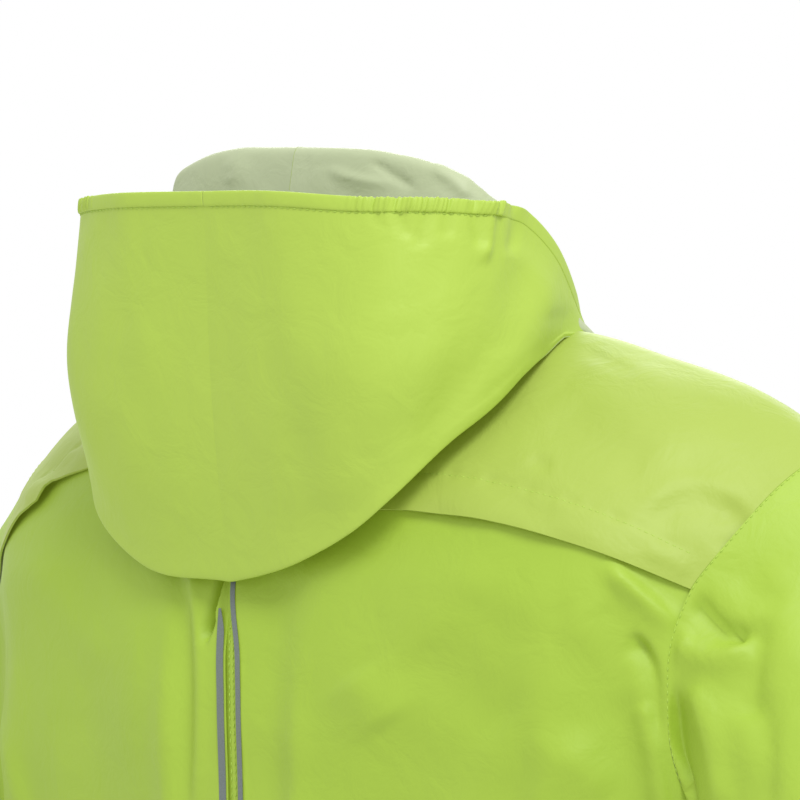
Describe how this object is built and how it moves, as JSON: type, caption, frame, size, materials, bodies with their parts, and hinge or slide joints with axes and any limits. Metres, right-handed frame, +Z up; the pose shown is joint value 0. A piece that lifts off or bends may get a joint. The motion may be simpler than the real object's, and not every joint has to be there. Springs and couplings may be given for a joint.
{
  "type": "hooded rain jacket",
  "caption": "Light hooded rain jacket with a full front zip, a free-hanging back cape vent and a centre back pleat edged with two reflective tapes.",
  "frame": {"origin": "middle of the neck, level with the two points where the neck seam meets the shoulder seams", "axes": "+X towards the wearer's left, +Y towards the wearer's back, +Z up"},
  "size_m": [0.698, 0.257, 0.7814],
  "materials": {
    "yoke_cloth": "light woven shell with a faint sheen",
    "back_cloth": "light woven shell with a faint sheen",
    "front_cloth": "light woven shell with a faint sheen",
    "sleeve_cloth": "light woven shell with a faint sheen",
    "hood_cloth": "light woven shell with a faint sheen",
    "reflective_tape": "grey reflective film, softly shiny",
    "zip_weave": "matt woven tape",
    "zip_teeth": "matt moulded teeth",
    "zip_metal": "satin black"
  },
  "bodies": {
    "jacket": {"back_yoke": "yoke_cloth", "back_left": "back_cloth", "back_right": "back_cloth", "back_pleat": "back_cloth", "front_left": "front_cloth", "front_right": "front_cloth", "sleeve_left": "sleeve_cloth", "sleeve_right": "sleeve_cloth", "hood_left": "hood_cloth", "hood_right": "hood_cloth", "hood_casing_left": "hood_cloth", "hood_casing_right": "hood_cloth", "tape_left": "reflective_tape", "tape_right": "reflective_tape", "zip_tape_left": "zip_weave", "zip_tape_right": "zip_weave", "zip_chain": "zip_teeth", "zip_slider": "zip_metal"},
    "pull": {"zip_pull": "zip_metal"}
  },
  "joints": [
    {"name": "pull_swing", "type": "hinge", "parent": "jacket", "child": "pull", "pos_m": [0, -0.10392, -0.09237], "axis": [-1, 0, 0], "range_deg": [0, 150]}
  ]
}
